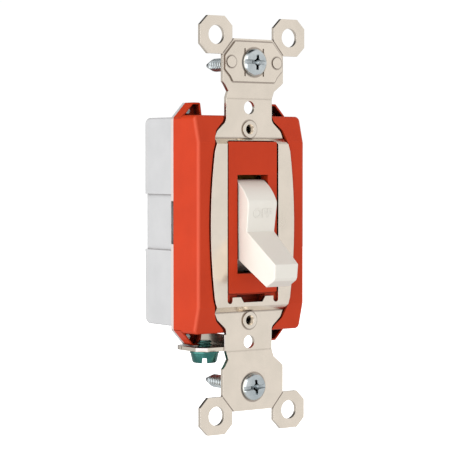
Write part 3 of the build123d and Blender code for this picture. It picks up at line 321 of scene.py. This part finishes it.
materials = {
    "strap_steel": plated("strap_steel", colour(0.800, 0.715, 0.615), colour(0.750, 0.675, 0.580),
                          colour(0.88, 0.82, 0.75), rough=0.20, gap_shade=colour(0.12, 0.09, 0.07),
                          reach=0.6 * MM, gap_shade_range=(0.30, 0.90), corner=colour(0.47, 0.43, 0.42),
                          fold_shade=colour(0.40, 0.34, 0.29)),
    "eyelet_steel": plated("eyelet_steel", colour(0.790, 0.715, 0.620), colour(0.730, 0.660, 0.570),
                           colour(0.88, 0.82, 0.75), rough=0.24, gap_shade=colour(0.11, 0.10, 0.08),
                           gap_shade_range=(0.30, 0.80)),
    "zinc_screw": plated("zinc_screw", colour(0.62, 0.66, 0.67), colour(0.41, 0.46, 0.48),
                         colour(0.88, 0.90, 0.91), rough=0.17, pit=0.12 * MM, reach=0.7 * MM,
                         gap_shade=colour(0.05, 0.07, 0.08), recess_shade_reach=2.5 * MM),
    "green_screw": plated("green_screw", colour(0.070, 0.240, 0.210), colour(0.032, 0.145, 0.128),
                          colour(0.30, 0.62, 0.58), rough=0.20, pit=0.12 * MM, metallic=0.85,
                          gap_shade=colour(0.004, 0.015, 0.013), reach=0.9 * MM, recess_shade_reach=3.0 * MM),
    "terminal_brass": plated("terminal_brass", colour(0.80, 0.60, 0.28), colour(0.66, 0.47, 0.20),
                             colour(0.90, 0.74, 0.44), rough=0.30),
    "screw_brass": plated("screw_brass", colour(0.78, 0.58, 0.25), colour(0.62, 0.44, 0.18),
                          colour(0.92, 0.76, 0.45), rough=0.24, pit=0.12 * MM),
    "contact_silver": plated("contact_silver", colour(0.88, 0.87, 0.84), colour(0.76, 0.75, 0.72),
                             colour(0.95, 0.94, 0.92), rough=0.25),
    "spring_steel": plated("spring_steel", colour(0.55, 0.55, 0.57), colour(0.42, 0.42, 0.45),
                           colour(0.75, 0.75, 0.76), rough=0.25, pit=0.1 * MM, edge_radius=0.04 * MM),
    "red_cover": moulded("red_cover", colour(0.545, 0.042, 0.009), colour(0.495, 0.037, 0.008),
                         colour(0.70, 0.085, 0.035), gap_shade=colour(0.020, 0.003, 0.002), rough=0.42,
                         depth=0.010 * MM, specular=0.16, edge_radius=0.20 * MM,
                         crest=colour(0.620, 0.085, 0.040)),
    # its gap_shade is reddish: painted shade with a painted red bounce from the cover
    "base_grey": moulded("base_grey", colour(0.520, 0.520, 0.524), colour(0.480, 0.481, 0.486),
                         colour(0.74, 0.72, 0.72), gap_shade=colour(0.075, 0.038, 0.030), rough=0.50,
                         depth=0.014 * MM, specular=0.35, flange_highlight=colour(0.600, 0.510, 0.485)),
    "ivory_toggle": moulded("ivory_toggle", colour(0.795, 0.762, 0.694), colour(0.760, 0.727, 0.660),
                            colour(0.92, 0.89, 0.82), gap_shade=colour(0.10, 0.07, 0.05), rough=0.34,
                            depth=0.005 * MM, coat=0.25, level_face_shade=colour(0.730, 0.675, 0.605)),
    "nylon": moulded("nylon", colour(0.80, 0.79, 0.74), colour(0.72, 0.70, 0.64),
                     colour(0.88, 0.87, 0.83), gap_shade=colour(0.12, 0.11, 0.09), rough=0.40),
    "stop_rubber": rubber("stop_rubber", colour(0.020, 0.020, 0.021), colour(0.060, 0.058, 0.055)),
    "fibre": fibre_board("fibre", colour(0.42, 0.26, 0.15), colour(0.28, 0.16, 0.09)),
}
node_finish = {
    "strap": "strap_steel", "grounding_clip": "strap_steel", "strap_eyelets": "eyelet_steel",
    "box_screw_top": "zinc_screw", "box_screw_bottom": "zinc_screw", "housing_rivets": "zinc_screw",
    "box_screw_washers": "fibre", "ground_screw": "green_screw", "cover": "red_cover",
    "base": "base_grey", "rubber_stops": "stop_rubber", "toggle": "ivory_toggle", "plunger": "nylon",
    "rocker_saddle": "nylon", "plunger_spring": "spring_steel", "contact_arm": "terminal_brass",
    "moving_contact": "contact_silver", "fixed_contact": "contact_silver",
    "line_terminal": "terminal_brass", "load_terminal": "terminal_brass",
    "line_clamp_plate": "terminal_brass", "load_clamp_plate": "terminal_brass",
    "line_terminal_screw": "screw_brass", "load_terminal_screw": "screw_brass",
}
for node_name, finish in node_finish.items():
    cad_mesh = frame["nodes"][node_name].data
    cad_mesh.materials.clear()
    cad_mesh.materials.append(materials[finish])


# ======================================== screws
SEGMENTS = 56
ROWS_PER_TURN = 10
THREAD_FLAT = 0.12                 # share of the pitch that is flat at crest and root
THREAD_DEPTH = 0.6                 # a thread's depth as a share of its pitch
PITCH = 0.794 * MM                 # 32 threads to the inch
RING_STEPS = 5                     # of a head's dome and of its rim
BROKEN_EDGE = 0.08 * MM            # taken off a head's lower edge
CUTTER_RISE = 1.0 * MM             # how far a cutter stands out of the head
SHARP_TURN = 38                    # degrees at which an edge keeps its sharp shading


def new_object(name, data):
    """An object in the scene."""
    obj = bpy.data.objects.new(name, data)
    bpy.context.scene.collection.objects.link(obj)
    return obj


def new_mesh(name, bm):
    """A mesh from what was drawn in bm, which is freed."""
    mesh = bpy.data.meshes.new(name)
    bm.to_mesh(mesh)
    bm.free()
    return mesh


def evaluated_mesh(obj):
    """The object's mesh with its modifiers or its text shape applied."""
    bpy.context.view_layer.update()
    return bpy.data.meshes.new_from_object(obj.evaluated_get(bpy.context.evaluated_depsgraph_get()))


class Axis:
    """Where a screw stands: the middle of its head's face, the way it goes in, and its slot's way."""

    def __init__(self, top, inward, across):
        self.top = top
        self.inward = inward
        self.across = across
        self.side = inward.cross(across)

    def at(self, depth, radius, angle):
        """A point at that depth below the head's face and that far from the axis."""
        way = self.across * math.cos(angle) + self.side * math.sin(angle)
        return self.top + self.inward * depth + way * radius

    def matrix(self):
        """Turns a cutter drawn with X along the slot and -Z into the head to where the screw is."""
        columns = (self.across, self.side * -1, self.inward * -1)
        turn = Matrix([[c[i] for c in columns] for i in range(3)]).to_4x4()
        return Matrix.Translation(self.top) @ turn


def thread_height(turns):
    """Height of the thread's flank from 0 at the root to 1 at the crest."""
    share = abs((turns % 1.0) * 2.0 - 1.0)
    height = (share - THREAD_FLAT) / (1.0 - 2.0 * THREAD_FLAT)
    return min(1.0, max(0.0, height))


def head_rings(head_radius, head_height, rim, dome):
    """A pan head's outline as (depth, radius): a shallow dome, a rounded rim, a straight side."""
    flat = head_radius - rim
    rim_depth = rim * 0.8
    steps = range(1, RING_STEPS + 1)
    rings = [(dome * (i / RING_STEPS) ** 2, flat * i / RING_STEPS) for i in steps]
    for i in steps:
        turn = math.pi / 2 * i / RING_STEPS
        rings.append((dome + rim_depth * (1 - math.cos(turn)), flat + rim * math.sin(turn)))
    rings.append((head_height - BROKEN_EDGE, head_radius))
    rings.append((head_height, head_radius - BROKEN_EDGE))
    return rings


def cone_rings(top_radius, foot_radius, head_height, collar):
    """A tapered head with a thin collar under it."""
    rim = 0.35 * MM
    small_edge = 0.06 * MM
    face_radius = top_radius * 0.85
    waist = top_radius + (foot_radius - top_radius) * 0.75
    collar_top = head_height - collar
    rings = [(0.0, face_radius * i / RING_STEPS) for i in range(1, RING_STEPS + 1)]
    rings += [(small_edge, top_radius - 0.6 * rim), (rim, top_radius + 0.1 * rim)]
    rings += [(collar_top - 0.1 * MM, waist), (collar_top, foot_radius - 0.12 * MM)]
    rings += [(collar_top + BROKEN_EDGE, foot_radius), (head_height - small_edge, foot_radius)]
    rings.append((head_height, foot_radius - small_edge))
    return rings


def thread_rows(angles, neck_radius, thread_start, length, major, point_length, point_radius):
    """Rings of (depth, radii) down the thread, which fades in at its start and narrows to a point."""
    core = major - THREAD_DEPTH * PITCH
    count = int((length - thread_start) / PITCH * ROWS_PER_TURN)
    for i in range(1, count + 1):
        depth = thread_start + (length - thread_start) * i / count
        fade_in = min(1.0, (depth - thread_start) / PITCH)
        into_point = max(0.0, depth - (length - point_length)) / point_length
        limit = major + (point_radius - major) * into_point
        radii = []
        for a in angles:
            height = thread_height(depth / PITCH - a / (2 * math.pi))
            crest = core + (major - core) * height * fade_in
            root = neck_radius + (core - neck_radius) * fade_in
            radius = max(root, crest) if fade_in < 1.0 else crest
            radii.append(min(radius, limit))
        yield depth, radii


def screw_mesh(name, axis, rings, neck_radius, thread_start, length, **thread):
    """A turned head, a plain neck and a helical thread, as one closed mesh."""
    bm = bmesh.new()
    angles = [2 * math.pi * i / SEGMENTS for i in range(SEGMENTS)]
    head_height = rings[-1][0]
    outline = list(rings) + [(head_height, neck_radius), (thread_start, neck_radius)]
    rows = [[bm.verts.new(axis.at(depth, radius, a)) for a in angles] for depth, radius in outline]
    for depth, radii in thread_rows(angles, neck_radius, thread_start, length, **thread):
        rows.append([bm.verts.new(axis.at(depth, radius, a)) for radius, a in zip(radii, angles)])
    for first, second in zip(rows, rows[1:]):
        for i in range(SEGMENTS):
            j = (i + 1) % SEGMENTS
            bm.faces.new((first[i], first[j], second[j], second[i]))
    for row, depth in ((rows[0], 0.0), (rows[-1], length)):
        middle = bm.verts.new(axis.at(depth, 0.0, 0.0))
        for i in range(SEGMENTS):
            bm.faces.new((row[i], row[(i + 1) % SEGMENTS], middle))
    bmesh.ops.recalc_face_normals(bm, faces=bm.faces)
    return new_mesh(name, bm)


def tapered_block(half_top, half_foot, depth, turn=0.0):
    """A cutter that narrows as it goes into the head."""
    bm = bmesh.new()
    corners = ((-1, -1), (1, -1), (1, 1), (-1, 1))
    rows = []
    for (half_x, half_y), z in ((half_top, CUTTER_RISE), (half_foot, -depth)):
        rows.append([bm.verts.new((half_x * x, half_y * y, z)) for x, y in corners])
    for i in range(4):
        j = (i + 1) % 4
        bm.faces.new((rows[0][i], rows[0][j], rows[1][j], rows[1][i]))
    bm.faces.new(rows[0])
    bm.faces.new(rows[1])
    bmesh.ops.recalc_face_normals(bm, faces=bm.faces)
    mesh = new_mesh("cutter", bm)
    mesh.transform(Matrix.Rotation(turn, 4, "Z"))
    return mesh


def cut(obj, cutters, placement):
    """Takes the cutters out of the object, one after the other."""
    for mesh in cutters:
        tool = new_object("cutter", mesh)
        tool.matrix_world = placement
        modifier = obj.modifiers.new("cut", "BOOLEAN")
        modifier.operation = "DIFFERENCE"
        modifier.solver = "EXACT"
        modifier.object = tool
        result = evaluated_mesh(obj)
        obj.modifiers.clear()
        obj.data = result
        bpy.data.objects.remove(tool)


def smooth_by_angle(obj, degrees):
    """Smooth shading, with the sharp edges kept sharp."""
    bm = bmesh.new()
    bm.from_mesh(obj.data)
    for face in bm.faces:
        face.smooth = True
    for edge in bm.edges:
        edge.smooth = len(edge.link_faces) == 2 and edge.calc_face_angle(0.0) < math.radians(degrees)
    bm.to_mesh(obj.data)
    bm.free()


def phillips_cutters(slot_width, slot_depth, head_radius, wing):
    """A straight slot through the head, with a cross recess in its middle."""
    slot_taper = 0.04 * MM
    wing_width, wing_foot, wing_depth = 0.48 * MM, (0.35 * MM, 0.30 * MM), 1.75 * MM
    core_half, core_foot, core_depth = 0.98 * MM, (0.2 * MM, 0.2 * MM), 1.7 * MM
    taper_length = 1.9 * MM
    widen = 1.0 + CUTTER_RISE / taper_length     # so that the width is about right at the head's face
    long = head_radius + CUTTER_RISE
    parts = [tapered_block((long, slot_width / 2), (long, slot_width / 2 - slot_taper), slot_depth)]
    for turn in (0.0, math.pi / 2):
        parts.append(tapered_block((wing * widen, wing_width), wing_foot, wing_depth, turn))
    core_top = (core_half * widen, core_half * widen)
    parts.append(tapered_block(core_top, core_foot, core_depth, math.pi / 4))
    return parts


def make_screw(node, body, axis, head, thread, cutters):
    """Builds one screw, cuts its recess, and puts it in the place of its CAD node."""
    name = node + "_turned"
    finish = node_finish[node]
    obj = new_object(name, screw_mesh(name, axis, head, **thread))
    cut(obj, cutters, axis.matrix())
    obj.data.name = name
    obj.data.materials.clear()
    obj.data.materials.append(materials[finish])
    smooth_by_angle(obj, SHARP_TURN)
    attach(obj, body)
    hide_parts(node)


def box_screw(node, body, slot_turn):
    """A pan head in front of the strap; the thread starts just behind the strap."""
    low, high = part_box(node)
    middle = (low + high) / 2
    head_radius = (high.x - low.x) / 2
    across = Vector((math.cos(slot_turn), 0.0, math.sin(slot_turn)))
    axis = Axis(Vector((middle.x, low.y, middle.z)), Vector((0, 1, 0)), across)
    head = head_rings(head_radius, head_height=1.6 * MM, rim=1.6 * MM, dome=0.12 * MM)
    strap_back, clear = 1.0 * MM, 0.1 * MM
    thread = dict(neck_radius=1.42 * MM, thread_start=strap_back - low.y + clear, length=high.y - low.y,
                  major=1.74 * MM, point_length=3.2 * MM, point_radius=0.62 * MM)
    cutters = phillips_cutters(slot_width=1.15 * MM, slot_depth=0.95 * MM, head_radius=head_radius,
                               wing=2.05 * MM)
    make_screw(node, body, axis, head, thread, cutters)


def ground_screw(slot_turn):
    """A tapered head with a collar under it and one plain slot, upside down under its tab."""
    node = "ground_screw"
    low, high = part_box(node)
    middle = (low + high) / 2
    across = Vector((-math.sin(slot_turn), math.cos(slot_turn), 0.0))
    axis = Axis(Vector((middle.x, middle.y, low.z)), Vector((0, 0, 1)), across)
    head_radius = (high.x - low.x) / 2
    head_height, clear = 3.0 * MM, 0.15 * MM
    head = cone_rings(top_radius=3.1 * MM, foot_radius=head_radius, head_height=head_height,
                      collar=0.55 * MM)
    thread = dict(neck_radius=1.55 * MM, thread_start=head_height + clear, length=high.z - low.z,
                  major=1.88 * MM, point_length=0.4 * MM, point_radius=1.5 * MM)
    long = head_radius + CUTTER_RISE
    slot_top, slot_foot, slot_depth = 0.70 * MM, 0.52 * MM, 1.4 * MM
    slot = tapered_block((long, slot_top), (long, slot_foot), slot_depth)
    make_screw(node, "ground_screw", axis, head, thread, [slot])


def terminal_screw(node, body, slot_turn):
    """A pan head in the housing's side window; the neck passes through the clamp plate."""
    low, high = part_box(node)
    middle = (low + high) / 2
    across = Vector((0.0, math.cos(slot_turn), math.sin(slot_turn)))
    axis = Axis(Vector((high.x, middle.y, middle.z)), Vector((-1, 0, 0)), across)
    head_radius = (high.z - low.z) / 2
    head_height, clamp_plate = 2.0 * MM, 0.9 * MM
    head = head_rings(head_radius, head_height, rim=0.9 * MM, dome=0.1 * MM)
    thread = dict(neck_radius=1.7 * MM, thread_start=head_height + clamp_plate, length=high.x - low.x,
                  major=2.03 * MM, point_length=0.6 * MM, point_radius=1.5 * MM)
    cutters = phillips_cutters(slot_width=1.2 * MM, slot_depth=0.95 * MM, head_radius=head_radius,
                               wing=2.1 * MM)
    make_screw(node, body, axis, head, thread, cutters)


box_screw("box_screw_top", "top_box_screw", math.radians(-2))
box_screw("box_screw_bottom", "bottom_box_screw", math.radians(4))
ground_screw(math.radians(-35))
terminal_screw("line_terminal_screw", "line_screw", math.radians(25))
terminal_screw("load_terminal_screw", "load_screw", math.radians(-50))


# ======================================== moulded words on the toggle
WORD_HEIGHT = 2.4 * MM
CAPITAL_SHARE = 1.4                 # a font's size over the height of its capitals
WORD_RISE = 0.07 * MM
WORD_ROUNDING = 0.02 * MM
WORD_SPOT = 0.62                    # along the shoulder's flat, from the lever to the drum
LEVER_ROOT = 9.6 * MM               # where a shoulder's flat leaves the lever, in front of the pivot
LEVER_ROOT_HALF = 4.15 * MM
DRUM_RADIUS = 12.65 * MM            # where the flat ends
DRUM_ANGLE = math.radians(59.5)


def moulded_word(text, middle, normal, up, height):
    """A raised word of the toggle's own plastic, lying on a flat that faces along normal."""
    curve = bpy.data.curves.new("word_" + text, "FONT")
    curve.body = text
    curve.align_x = "CENTER"
    curve.align_y = "CENTER"
    curve.size = height * CAPITAL_SHARE
    curve.extrude = WORD_RISE
    curve.bevel_depth = WORD_ROUNDING
    curve.bevel_resolution = 1
    curve.offset = WORD_ROUNDING
    curve.resolution_u = 6
    right = up.cross(normal)
    turn = Matrix([[right[i], up[i], normal[i]] for i in range(3)]).to_4x4()
    source = new_object("word_" + text, curve)
    source.matrix_world = Matrix.Translation(middle) @ turn
    mesh = evaluated_mesh(source)
    mesh.transform(source.matrix_world)
    bpy.data.objects.remove(source)
    obj = new_object("toggle_word_" + text, mesh)
    mesh.materials.clear()
    mesh.materials.append(materials["ivory_toggle"])
    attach(obj, "toggle")


def shoulder_words():
    """OFF reads upright while the toggle is down, and ON, on the other shoulder, while it is up."""
    joints = frame["record"]["behaviour"]["joints"]
    joint = next(j for j in joints if j["name"] == "toggle_pivot")
    pivot = Vector(joint["pos_m"])
    throw = math.radians(joint["range_deg"][1]) / 2
    inward = Vector((0.0, math.cos(throw), math.sin(throw)))
    across = Vector((0.0, -math.sin(throw), math.cos(throw)))
    root = Vector((-LEVER_ROOT, LEVER_ROOT_HALF))
    corner = Vector((-math.cos(DRUM_ANGLE), math.sin(DRUM_ANGLE))) * DRUM_RADIUS
    along = (corner - root).normalized()
    spot = root.lerp(corner, WORD_SPOT)
    for text, side in (("OFF", 1), ("ON", -1)):
        middle = pivot + inward * spot.x + across * spot.y * side
        normal = inward * -along.y + across * along.x * side
        up = inward * along.x * side + across * along.y
        moulded_word(text, middle, normal, up, WORD_HEIGHT)


shoulder_words()


# ======================================== floor, light and camera
FRONT_LIGHT = 0.94                 # brightness of the room in front of the switch
BACK_LIGHT = 0.62                  # and behind it
CEILING_LIGHT = 0.05               # share of that which is left straight overhead
DARK_PATCH_WAY = (0.0, 0.81, 0.57)   # towards a dark patch behind and above
DARK_PATCH_LIGHT = 0.15            # share of the light that is left there
BACKDROP_WHITE = 1.03              # what the camera sees behind the switch
FLOOR_HALF = 3.0
FLOOR_DROP = 0.12                  # below the switch


def make_floor():
    """A pale floor well below the switch."""
    bm = bmesh.new()
    bmesh.ops.create_grid(bm, x_segments=12, y_segments=12, size=FLOOR_HALF)
    floor = new_object("floor", new_mesh("floor", bm))
    floor.location = (0.0, 0.0, cad_low.z - FLOOR_DROP)
    material, tree = new_tree("floor")
    place = object_place(tree)
    patch_size = 0.4
    patches = noise(tree, place, patch_size, detail=3.0)
    tone = blend_colours(tree, patches, colour(0.985, 0.985, 0.985), colour(1.0, 1.0, 1.0))
    gloss = spread(tree, patches, 0.3, 0.7, 0.85, 0.95)
    inputs = {"Base Color": tone, "Roughness": gloss, "Specular IOR Level": 0.0,
              "Emission Color": tone, "Emission Strength": 1.0}
    finish_material(tree, add_node(tree, "ShaderNodeBsdfPrincipled", inputs))
    floor.data.materials.append(material)
    floor.visible_diffuse = False
    floor.visible_glossy = False


def make_world():
    """White for the camera; for the object, bright all over the front and dimmer behind and above."""
    world = bpy.data.worlds.new("studio")
    bpy.context.scene.world = world
    world.use_nodes = True
    tree = world.node_tree
    tree.nodes.clear()
    way = add_node(tree, "ShaderNodeTexCoord").outputs["Generated"]
    parts = add_node(tree, "ShaderNodeSeparateXYZ", {0: way}).outputs
    level = spread(tree, parts["Y"], -0.15, 0.45, FRONT_LIGHT, BACK_LIGHT)
    behind_above = add_node(tree, "ShaderNodeVectorMath", {0: way, 1: DARK_PATCH_WAY},
                            operation="DOT_PRODUCT").outputs["Value"]
    level = multiply(tree, level, spread(tree, behind_above, 0.70, 0.92, 1.0, DARK_PATCH_LIGHT))
    level = multiply(tree, level, spread(tree, parts["Z"], 0.80, 0.95, 1.0, CEILING_LIGHT))
    rays = add_node(tree, "ShaderNodeLightPath").outputs["Is Camera Ray"]
    strength = spread(tree, rays, 0.0, 1.0, level, BACKDROP_WHITE)
    light = add_node(tree, "ShaderNodeBackground", {"Color": colour(1.0, 1.0, 1.0), "Strength": strength})
    output = add_node(tree, "ShaderNodeOutputWorld")
    tree.links.new(light.outputs[0], output.inputs[0])


def aim(obj, target, azimuth, elevation, distance):
    """Stands the object off from the target, and turns it to look at it. Angles in degrees."""
    a, e = math.radians(azimuth), math.radians(elevation)
    back = Vector((math.sin(a) * math.cos(e), -math.cos(a) * math.cos(e), math.sin(e)))
    obj.location = target + back * distance
    obj.rotation_mode = "QUATERNION"
    obj.rotation_quaternion = (-back).to_track_quat("-Z", "Y")


def softbox(name, azimuth, elevation, distance, width, height, power, target):
    """A rectangular soft light, aimed at the target."""
    data = bpy.data.lights.new(name, "AREA")
    data.shape = "RECTANGLE"
    data.size = width
    data.size_y = height
    data.energy = power
    aim(new_object(name, data), target, azimuth, elevation, distance)


def make_camera():
    """At the photograph's viewing angle: from the front left, almost level."""
    target = Vector((-8.93, -1.0, 0.19)) * MM
    data = bpy.data.cameras.new("camera")
    data.sensor_width = 36.0
    data.lens = 150.19
    data.clip_start = 0.02
    data.clip_end = 20.0
    camera = new_object("camera", data)
    aim(camera, target, azimuth=-35.62, elevation=1.86, distance=477.1 * MM)
    bpy.context.scene.camera = camera


centre = (cad_low + cad_high) / 2
make_floor()
make_world()
softbox("key", azimuth=-86, elevation=6, distance=0.60, width=1.2, height=1.2, power=6.0, target=centre)
make_camera()
bpy.context.scene.view_settings.view_transform = "Standard"
